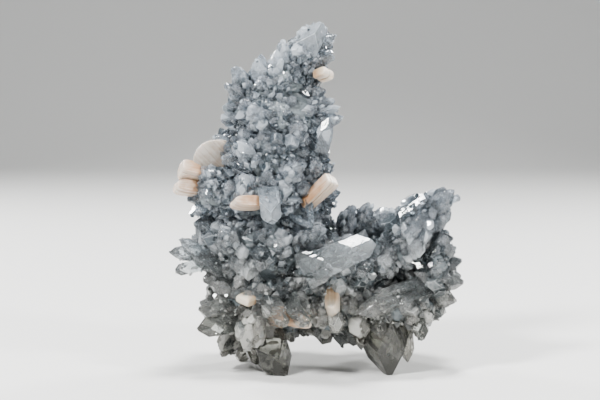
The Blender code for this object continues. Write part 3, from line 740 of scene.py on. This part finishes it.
LARGE_HIDDEN = (
    # the back of the tower
    ((-8.0, 5.0, 104.0), (-6.0, 13.0, 114.0), 7.0, 30, 0.08, 1.0, 0.3),
    ((-18.0, 6.0, 92.0), (-24.0, 17.5, 99.0), 7.5, 12, 0.15, 1.0, 0.5),
    ((-7.0, 8.0, 84.0), (-2.0, 20.5, 91.0), 7.5, 35, 0.1, 1.0, 0.1),
    ((-24.0, 9.0, 74.0), (-32.0, 20.5, 80.0), 8.5, 20, 0.12, 1.0, 0.3),
    ((-10.0, 10.0, 66.0), (-5.0, 23.0, 74.0), 9.0, 8, 0.05, 1.0, 0.2),
    ((-28.0, 10.0, 56.0), (-37.0, 22.0, 60.0), 8.5, 42, 0.15, 1.0, 0.6),
    # the back of the foot and of the lobe
    ((-12.0, 12.0, 45.0), (-8.0, 28.5, 53.0), 11.0, 25, 0.05, 1.0, 0.1),
    ((-28.0, 12.0, 36.0), (-38.0, 24.0, 40.0), 8.5, 10, 0.15, 1.0, 0.3),
    ((16.0, 12.0, 40.0), (19.0, 27.0, 48.0), 10.0, 18, 0.1, 1.0, 0.1),
    ((32.0, 13.0, 38.0), (41.0, 23.0, 45.0), 8.5, 40, 0.15, 1.0, 0.5),
    ((30.0, 12.0, 26.0), (37.0, 24.0, 20.0), 8.0, 15, 0.05, 1.0, 0.2),
    ((12.0, 10.0, 24.0), (16.0, 24.0, 18.0), 8.0, 28, 0.1, 1.0, 0.3),
    ((-24.0, 12.0, 22.0), (-32.0, 23.5, 24.0), 7.5, 5, 0.1, 1.0, 0.2),
)
BRIGHT = (
    # the bright prism on the tower's right edge, whose point mirrors the lamp
    ((0.7, -4.6, 74.8), (4.2, -7.3, 87.0), 5.6, 12.7, 0.0, 1.0, 0.7),
)
FLOATING = (
    # the great double-ended crystal across the middle, and its like on the back
    ((-8.0, -15.6, 34.2), (21.2, -25.5, 48.0), 12.5, 2, 0.0, 0.85, 0.0),
    ((4.0, 12.0, 34.0), (-8.0, 27.0, 26.0), 11.5, 32, 0.0, 0.85, 0.1),
)
FEET = (
    ((22.0, -6.0, 18.0), (24.4, -13.0, -2.0), 15.5, 30, 0.0, 1.0, 0.2),
    ((-20.5, -6.0, 16.0), (-10.4, -14.5, -2.0), 12.0, 35, 0.0, 1.0, 0.1),
    ((-24.0, 5.0, 15.0), (-27.0, 12.0, -2.0), 9.0, 15, 0.0, 1.0, 0.3),
    ((22.0, 9.0, 19.0), (23.4, 17.0, -2.0), 9.0, 20, 0.0, 1.0, 0.2),
)
BLOCKS = (
    # under the leaning top of the tower, and the steps on its left shoulder
    ((-7.6, 0.0, 100.0), (-3.4, -5.4, 112.6), 9.0, 35, 0.1, 1.0, 0.5),
    ((-3.0, -1.0, 104.5), (5.8, -6.0, 108.6), 7.5, 35, 0.1, 1.0, 0.3),
    ((-12.0, -1.0, 101.0), (-11.0, -5.0, 112.6), 8.5, 15, 0.1, 1.0, 0.5),
    ((-18.0, -1.0, 98.0), (-20.2, -6.0, 107.2), 8.0, 38, 0.12, 1.0, 0.5),
    ((-24.0, -2.0, 95.0), (-28.0, -6.0, 103.6), 7.0, 30, 0.2, 1.0, 0.5),
    ((-24.0, -2.0, 92.0), (-31.4, -5.0, 97.6), 5.4, 10, 0.15, 1.0, 0.4),
    ((-5.0, -1.0, 88.5), (6.0, -5.0, 92.0), 5.8, 40, 0.1, 1.0, 0.4),
    ((-4.0, -3.0, 66.0), (1.4, -10.5, 72.4), 6.0, 30, 0.2, 1.0, 0.4),
    # the larger facets on the tower's face and edges
    ((-19.0, -6.0, 84.0), (-22.5, -13.5, 91.5), 7.5, 25, 0.12, 1.0, 0.5),
    ((-8.0, -5.0, 80.0), (-5.0, -14.5, 84.0), 7.0, 5, 0.2, 1.0, 0.4),
    ((-22.0, -7.0, 72.0), (-27.0, -16.0, 79.5), 8.5, 40, 0.15, 1.0, 0.5),
    ((-10.0, -8.0, 66.0), (-6.5, -17.5, 71.5), 8.5, 15, 0.2, 1.0, 0.6),
    ((-26.0, -2.0, 73.0), (-36.0, -5.0, 80.0), 6.6, 20, 0.15, 1.0, 0.4),
    ((-22.0, 0.0, 83.0), (-33.0, -4.0, 86.0), 7.2, 8, 0.1, 1.0, 0.4),
    ((-28.0, -11.0, 44.0), (-31.5, -20.5, 50.5), 8.0, 20, 0.2, 1.0, 0.4),
    ((-3.0, -12.0, 45.0), (2.0, -18.5, 52.0), 8.0, 28, 0.25, 1.0, 0.3),
    ((-24.0, -7.0, 54.0), (-24.4, -13.8, 70.4), 9.0, 10, 0.12, 0.8, 0.6),
    # the warm grey one at the lower left, and the ragged edge behind it
    ((-20.0, -11.0, 23.0), (-24.8, -22.0, 8.4), 9.4, 38, 0.05, 1.0, 0.7),
    ((-24.0, -1.0, 16.0), (-34.2, -8.0, 4.6), 9.4, 25, 0.12, 1.0, 0.5),
    # the lobe: its upper corner, the ragged facet over the hollow, the blocks in it, and the two behind
    ((33.0, -4.0, 51.0), (47.0, -11.5, 62.4), 10.0, 24, 0.08, 1.0, 0.3),
    ((36.0, -4.0, 57.0), (32.2, -16.5, 40.4), 12.5, 30, 0.02, 1.0, 0.4),
    ((23.0, -2.0, 38.0), (24.6, -14.0, 33.0), 8.5, 30, 0.3, 1.0, 0.5),
    ((30.0, 0.0, 38.0), (32.0, -12.5, 37.0), 9.0, 15, 0.3, 1.0, 0.4),
    ((13.0, 3.0, 42.0), (18.4, -2.0, 58.0), 6.6, 15, 0.0, 1.0, 0.3),
    ((8.0, 2.0, 42.0), (12.4, -3.0, 56.8), 6.6, 30, 0.06, 1.0, 0.3),
)


def columns(rows, each=1):
    """The rows as arrays, each row repeated so many times.

    They are root, axis, length, half width, share of the flat end, thickness, milkiness and own axes.
    """
    root = np.array([row[0] for row in rows])
    span = np.array([row[1] for row in rows]) - root
    length = np.linalg.norm(span, axis=1)
    axis = span / length[:, None]
    width, twist, blunt, thick, milk = np.array([row[2:] for row in rows], dtype=float).T
    values = (root, axis, length, width / 2, blunt, thick, milk, axes_along(axis, np.radians(twist)))
    return [np.repeat(value, each, axis=0) for value in values]


def large_batches(rows, kind, rng, share=1.0):
    """The crystals of one list, at a share of their width, which shortens them half as much.

    A foot's flat end is the table's own plane.
    """
    root, _, length, half, blunt, thick, milk, axes = columns(rows)
    length = length * (1 - 0.5 * (1 - share))
    half = half * share
    count = len(rows)
    late = length[:, None] * rng.uniform(0.0, 0.02, (count, 4))
    end = None
    if kind is BLUNT:
        lost = np.clip(blunt * length, 0.3 * half, 1.05 * half)
        late = np.minimum(late, 0.3 * lost[:, None])
        end = (np.broadcast_to(ABOVE, (count, 3)), length - lost)
    else:
        late[:, ::2] += half[:, None] * rng.uniform(0.25, 0.5, (count, 1))
    if rows is FEET:
        end = (np.einsum("nkd,d->nk", axes, BELOW[0]), root[:, 2])
    batch = grown(kind, half, length, late, axes, root, rng, end, thick, wear=0.015)
    if rows is FEET:
        batch["top"] = length
    batch["tone"] = 0.3 + 0.5 * milk
    batch["slot"] = (milk > 0.45).astype(int)
    return [batch]


def parallel_growths(rows, each, rng):
    """Smaller crystals that grew on the sides of large ones, all but in line with them.

    Each is set into a side, a share of the way along it, and stands out by about half its own width.
    """
    root, axis, length, half, _, thick, milk, axes = columns(rows, each)
    count = len(root)
    small = half * rng.uniform(0.1, 0.36, count)
    side = rng.integers(0, 4, count)
    off = rng.uniform(-0.8, 0.8, count) * half
    depth = half * 0.92 - small * rng.uniform(0.1, 0.6, count)
    u = np.choose(side, (depth, off, -depth, off))
    v = np.choose(side, (off, depth, off, -depth)) * thick
    start = rng.uniform(0.1, 0.6, count) * (length - 2 * STEEP * half).clip(0.5)
    span = small * rng.uniform(3.2, 7.0, count)
    origin = root + np.einsum("nk,nkd->nd", np.stack((u, v, start), axis=1), axes)
    lean = directions(axis + rng.normal(size=(count, 3)) * 0.05)
    kept = (origin + lean * span[:, None])[:, 2] > LOWEST_POINT
    across = axes_along(lean, np.zeros(count))
    twist = np.arctan2(*(np.einsum("nd,nd->n", axes[:, 0], across[:, k]) for k in (1, 0)))
    turned = axes_along(lean, twist)
    tone = np.clip(rng.uniform(0.2, 0.6, count) + 0.4 * milk, 0, 1)
    flat, cloudy = rng.uniform(0, 1, (2, count)) < np.stack((np.full(count, 0.4), 0.15 + 0.6 * milk))
    return small_batches(*(part[kept] for part in (small, span, turned, origin, tone, flat, cloudy)), rng)


def bundles(rows, each, rng):
    """Blocks of many crystals grown side by side, which together have the shape of one large crystal.

    At x and y across a block its crystals end where the large one's slopes are, give or take a little, and
    they lean outwards by up to a fifth. Two in five sit lower, on the block's sides, and lean out further.
    """
    root, _, length, half, blunt, thick, milk, axes = columns(rows, each)
    count = len(root)
    place = rng.uniform(-0.95, 0.95, (count, 2)) * half[:, None]
    side = rng.integers(0, 4, count)
    low = rng.uniform(0, 1, count) < 0.4
    moved_out(place, half, low, side, 0.95)
    top = np.minimum(length - STEEP * np.abs(place).sum(axis=1), length * (1 - 0.6 * blunt))
    top = np.where(low, top * rng.uniform(0.45, 1.0, count), top) + 0.12 * half * rng.normal(size=count)
    small = half * rng.uniform(0.2, 0.44, count)
    span = small * rng.uniform(3.2, 5.0, count)
    out = np.where(low, 0.7, 0.22)[:, None] * place / half[:, None]
    look = np.concatenate((out, np.ones((count, 1))), axis=1) + rng.normal(size=(count, 3)) * 0.07
    lean = np.einsum("nk,nkd->nd", directions(look), axes)
    tip = np.concatenate((place * np.stack((np.ones(count), thick), axis=1), top[:, None]), axis=1)
    origin = root + np.einsum("nk,nkd->nd", tip, axes) - lean * (span - 0.7 * small)[:, None]
    kept = (origin + lean * span[:, None])[:, 2] > LOWEST_POINT
    turned = axes_along(lean, rng.uniform(0, math.pi, count))
    tone = np.clip(rng.normal(0.4, 0.2, count) + 0.3 * milk, 0, 1)
    flat, cloudy = rng.uniform(0, 1, (2, count)) < np.stack((np.full(count, 0.45), 0.1 + 0.6 * milk))
    return small_batches(*(part[kept] for part in (small, span, turned, origin, tone, flat, cloudy)), rng)


large_clear = apophyllite(
    "apophyllite, clear large crystals",
    ("#9da4a7", "#d2d7d9", "#f8f9f9"),
    clear=0.9, rough=0.03, facet=2.4, rough_facets=0.1,
)
large_cloudy = apophyllite(
    "apophyllite, cloudy large crystals",
    ("#697174", "#a8aeb1", "#f1f3f3"),
    clear=0.66, rough=0.08, facet=1.4, rough_facets=0.2,
)
large_looks = [large_clear, large_cloudy]
# the great double-ended crystals and the bright prism have smooth faces, which mirror a lamp whole
smooth_clear = apophyllite(
    "apophyllite, smooth and clear",
    ("#a6adb0", "#d8dddf", "#fcfdfd"),
    clear=0.87, rough=0.02, facet=2.4, rough_facets=0.02,
)
SMOKE = ("#c3c9cb", 22.0)  # what the feet's smoky crystals absorb, as a colour and a density per metre
smoky_clear = apophyllite(
    "apophyllite, smoky clear",
    ("#a3a6a4", "#d0d2cf", "#f2f3f1"),
    clear=0.9, rough=0.04, facet=2.2, rough_facets=0.1, absorbed=SMOKE,
)
smoky_cloudy = apophyllite(
    "apophyllite, smoky cloudy",
    ("#7c7f7d", "#b4b6b3", "#efefec"),
    clear=0.66, rough=0.1, facet=1.4, rough_facets=0.15, absorbed=SMOKE,
)
smoky_looks = [smoky_clear, smoky_cloudy]

rng = np.random.default_rng(5)
front_flat = [row for row in LARGE_FRONT if row[4] >= 0.05]
front_pointed = [row for row in LARGE_FRONT if row[4] < 0.05]
front = large_batches(front_flat, BLUNT, rng) + large_batches(front_pointed, POINTED, rng)
blocks = large_batches(BLOCKS, BLUNT, rng, 0.85)
hidden = large_batches(LARGE_HIDDEN, BLUNT, rng)
feet = large_batches(FEET, BLUNT, rng)
smooth = large_batches(FLOATING, DOUBLE_ENDED, rng) + large_batches(BRIGHT, POINTED, rng)
crystal_piece("smooth_crystals", smooth, [smooth_clear, smooth_clear])
growths = parallel_growths(FLOATING, 6, rng) + parallel_growths(LARGE_FRONT, 8, rng)
crystal_piece("large_crystals_front", front + growths, large_looks)
crystal_piece("large_crystals_back", hidden + parallel_growths(LARGE_HIDDEN, 9, rng), large_looks)
crystal_piece("foot_crystals", feet + parallel_growths(FEET, 7, rng), smoky_looks)
crystal_piece("blocks", blocks + bundles(BLOCKS, 26, rng), druse_looks)

WISP_GRID = (14, 6)  # points around one wisp, and across it


def veils(rows, each, rng):
    """White wisps inside the large crystals, where tiny bubbles were shut in: thin, wavy, slanted lenses.

    Each is a ball pressed to a thirtieth of its width, with a sine wave added across it.
    """
    root, _, length, half, _, thick, _, axes = columns(rows, each)
    count = len(root)
    size = half * rng.uniform(0.16, 0.4, count)
    pressed = np.stack((size, size * rng.uniform(0.3, 0.8, count), 0.03 * size), axis=1)
    shape = ball_points(*WISP_GRID) * pressed[:, None]
    wave = np.sin(shape[..., 0] / size[:, None] * 4 + rng.uniform(0, 6, (count, 1)))
    shape[..., 2] += 0.1 * size[:, None] * wave
    slant = rng.normal(size=(count, 3)) * (1, 1, 0.4) + 1e-3
    turn = directions(axes_along(slant, rng.uniform(0, math.pi, count)))
    centre = rng.uniform(-0.4, 0.4, (count, 3)) * half[:, None]
    centre[:, 1] *= thick
    centre[:, 2] = rng.uniform(0.35, 0.95, count) * (length - STEEP * half)
    narrowed = np.stack((np.ones(count), thick, np.ones(count)), axis=1)
    place = np.einsum("nvk,nkd->nvd", shape, turn) * narrowed[:, None] + centre[:, None]
    place = root[:, None] + np.einsum("nvk,nkd->nvd", place, axes)
    marks = {"tone": np.full(place[..., 0].size, 0.9), "height": np.ones(place[..., 0].size)}
    mesh_piece("veils", place.reshape(-1, 3), ball_faces(count, *WISP_GRID), [wisp], smooth=True, marks=marks)


wisp = apophyllite(
    "apophyllite, white wisps",
    ("#b4babd", "#dcdfe1", "#ffffff"),
    clear=0.5, rough=0.3, facet=1.0, rough_facets=0.1,
)
veils(LARGE_FRONT + FLOATING * 4 + LARGE_HIDDEN + FEET, 4, rng)
crystal_piece("sugar_large", sugar(front + hidden + feet, 16, (0.18, 0.42), rng), finest_looks)
crystal_piece("sugar_blocks", sugar(blocks, 30, (0.2, 0.45), rng), finest_looks)

# The stilbite: peach to beige sheaves of thin pearly blades, which grew between the apophyllite crystals
# before the last of them. A sheaf is one growth: its blades lie on each other and open towards the tip.

# node, root, tip, width (mm), blades, thickness (mm), opening and twist in degrees, squareness of the ends
SHEAVES = (
    ("stilbite_fan_left", (-26.0, -3.6, 62.0), (-39.4, -7.2, 77.0), 18.5, 4, 2.8, 1.5, 84, 2.2),
    ("stilbite_sheaf_left_upper", (-35.0, -5.0, 66.2), (-46.6, -9.6, 69.2), 6.2, 4, 4.6, 8, -52, 4.6),
    ("stilbite_sheaf_left_lower", (-36.0, -5.0, 61.8), (-48.2, -10.4, 63.2), 4.8, 3, 4.0, 8, -66, 2.8),
    ("stilbite_sheaf_middle", (-17.0, -13.2, 58.0), (-28.6, -18.2, 58.7), 4.6, 3, 3.4, 6, -62, 2.4),
    ("stilbite_sheaf_right", (-4.2, -9.6, 57.0), (5.6, -14.8, 66.8), 5.6, 4, 3.4, 5, 62, 9.0),
    ("stilbite_block_top", (0.0, -4.4, 99.6), (4.2, -7.0, 101.2), 4.0, 2, 3.4, 6, 70, 4.0),
    ("stilbite_block_low_left", (-22.0, -12.0, 27.0), (-26.4, -17.0, 26.2), 3.8, 1, 3.2, 6, 75, 3.4),
    ("stilbite_wedge_low_middle", (5.2, -11.0, 29.6), (4.6, -18.4, 22.8), 5.8, 1, 4.2, 8, 5, 2.4),
    ("stilbite_blade_low_edge", (-18.5, -11.0, 21.2), (-1.6, -20.6, 18.0), 4.4, 2, 1.6, 4, 82, 2.3),
    ("stilbite_sheaf_back_tower", (-20.0, 9.0, 83.0), (-28.5, 19.5, 88.5), 7.0, 5, 4.6, 10, 40, 5.0),
    ("stilbite_sheaf_back_foot", (-18.0, 12.0, 33.0), (-22.5, 27.0, 33.0), 7.4, 5, 5.0, 10, 60, 5.0),
)

BLADE_GRID = (36, 30)  # points around one blade, and along it


def sheaf_surface(root, tip, width, blades, thickness, opening, twist, square, rng):
    """All the blades of one sheaf: each is a ball pulled out along the sheaf and pressed to a plate.

    At t from -1 at the root to 1 at the tip, a blade is width * (1 - |t|^square)^(1/square) wide. Its
    thickness follows the same rule with a power of 12, and every section is a rectangle with rounded corners.
    """
    around, up = BLADE_GRID
    span = np.array(tip) - np.array(root)
    t = np.cos(np.linspace(0, math.pi, up + 2)[1:-1])[None, :, None]
    u = np.linspace(0, 2 * math.pi, around, endpoint=False)[None, None, :]
    spread = np.linspace(-0.5, 0.5, blades)[:, None, None]
    half = width / 2 * rng.uniform(0.9, 1.0, (blades, 1, 1)) * (1 - 0.2 * np.abs(spread))
    length = np.linalg.norm(span) * rng.uniform(0.92, 1.0, (blades, 1, 1))
    each = thickness / blades * 0.85  # half a blade's thickness, so that they overlap
    wide = (1 - np.abs(t) ** square) ** (1 / square)
    deep = (1 - np.abs(t) ** 12) ** (1 / 12)
    c, s = np.cos(u), np.sin(u)
    x = half * wide * np.sign(c) * np.abs(c) ** 0.4 + 0 * s
    y = spread * thickness * 0.7 + each * deep * np.sign(s) * np.abs(s) ** 0.4
    y = y + 0.1 * uneven(np.stack((x + 0 * y, y, 0.3 * t * half + 0 * x), axis=-1), 3.0, 41)
    z = length * (t + 1) / 2 + 0 * x
    ends = np.broadcast_to(((0.0, 0.0, 1.0), (0.0, 0.0, 0.0)), (blades, 2, 3)) * length
    ends = ends + np.array((0.0, 1.0, 0.0)) * spread * thickness * 0.7
    local = np.concatenate((np.stack((x, y, z), axis=-1).reshape(blades, -1, 3), ends), axis=1)
    edge = np.maximum(np.abs(c) ** 8 + 0 * t, np.abs(t) ** 10 + 0 * c) + 0 * x
    edge = np.concatenate((edge.reshape(blades, -1), np.ones((blades, 2))), axis=1)
    lean = math.radians(opening) * spread[:, 0]
    turned = local.copy()
    turned[..., 1] = local[..., 1] * np.cos(lean) + local[..., 2] * np.sin(lean)
    turned[..., 2] = local[..., 2] * np.cos(lean) - local[..., 1] * np.sin(lean)
    axes = axes_along(directions(span)[None], np.array([math.radians(twist)]))[0]
    place = (np.array(root) + turned @ axes).reshape(-1, 3)
    marks = {
        "grain": (local + rng.uniform(0, 30, (blades, 1, 3))).reshape(-1, 3),
        "height": (local[..., 2] / length[:, 0]).ravel(),
        "edge": edge.ravel(),
    }
    return place, ball_faces(blades, around, up), marks


def stilbite(name, root, middle, tip):
    """Stilbite: a pearly lustre on the blades' faces, deeper in colour at the root and pale at the edges.

    Streaks run along the blades, because they are many thinner ones grown together.
    """
    material, tree = new_material(name)
    height = add_node(tree, "Attribute", attribute_name="height").outputs["Fac"]
    edge = add_node(tree, "Attribute", attribute_name="edge").outputs["Fac"]
    grain = add_node(tree, "Attribute", attribute_name="grain").outputs["Vector"]
    where = add_node(tree, "TexCoord").outputs["Object"]
    # streaks 0.5 mm apart and 8 mm long, and patches 2.5 mm wide
    along = add_node(tree, "Mapping", {"Vector": grain, "Scale": (2.0, 2.0, 0.12)})
    streaks = add_node(tree, "TexNoise", {"Vector": along.outputs[0], "Scale": 1.0, "Detail": 3.0})
    patches = add_node(tree, "TexNoise", {"Vector": where, "Scale": 1 / (2.5 * MM), "Detail": 3.0})
    both = add_node(tree, "Math", {0: streaks.outputs["Fac"], 1: patches.outputs["Fac"]}, operation="ADD")
    shift = add_node(tree, "Math", {0: both.outputs[0], 1: 0.8, 2: -0.8}, operation="MULTIPLY_ADD")
    value = add_node(tree, "Math", {0: shift.outputs[0], 1: height}, operation="ADD")
    ramp = add_node(tree, "ValToRGB", {"Fac": value.outputs[0]})
    ramp.color_ramp.elements[0].position = 0.2
    ramp.color_ramp.elements[0].color = linear(root)
    ramp.color_ramp.elements[1].position = 1.05
    ramp.color_ramp.elements[1].color = linear(tip)
    ramp.color_ramp.elements.new(0.62).color = linear(middle)
    pale = add_node(tree, "Math", {0: edge, 1: 0.4}, operation="MULTIPLY")
    colour = add_node(tree, "Mix", {"Factor": pale.outputs[0]}, data_type="RGBA")
    tree.links.new(ramp.outputs["Color"], colour.inputs["A"])
    colour.inputs["B"].default_value = linear("#eee3d8")
    bump = add_node(tree, "Bump", {"Height": both.outputs[0], "Strength": 0.7, "Distance": 0.3 * MM})
    shade = add_node(
        tree,
        "BsdfPrincipled",
        {
            "Base Color": colour.outputs["Result"],
            "Roughness": 0.34,
            "IOR": 1.5,
            "Coat Weight": 0.3,
            "Coat Roughness": 0.15,
            "Subsurface Weight": 0.3,
            "Subsurface Radius": (1.0, 0.6, 0.4),
            "Subsurface Scale": 1.5 * MM,
            "Normal": bump.outputs["Normal"],
        },
    )
    add_node(tree, "OutputMaterial", {"Surface": shade.outputs[0]})
    return material


peach = stilbite("stilbite, peach and pearly", "#9c795a", "#b2947a", "#c2b2a4")
beige = stilbite("stilbite, greyer fan", "#8a6f58", "#9a9085", "#b3ada5")
cream = stilbite("stilbite, cream", "#a3876a", "#b9a68d", "#cabfae")
other_looks = {
    "stilbite_fan_left": beige,
    "stilbite_block_top": cream,
    "stilbite_block_low_left": cream,
    "stilbite_wedge_low_middle": cream,
}
rng = np.random.default_rng(8)
for node, root, tip, *sizes in SHEAVES:
    place, faces, marks = sheaf_surface(root, tip, *sizes, rng)
    material = other_looks.get(node, peach)
    mesh_piece(node + "_blades", place, faces, [material], smooth=True, marks=marks, node=node)
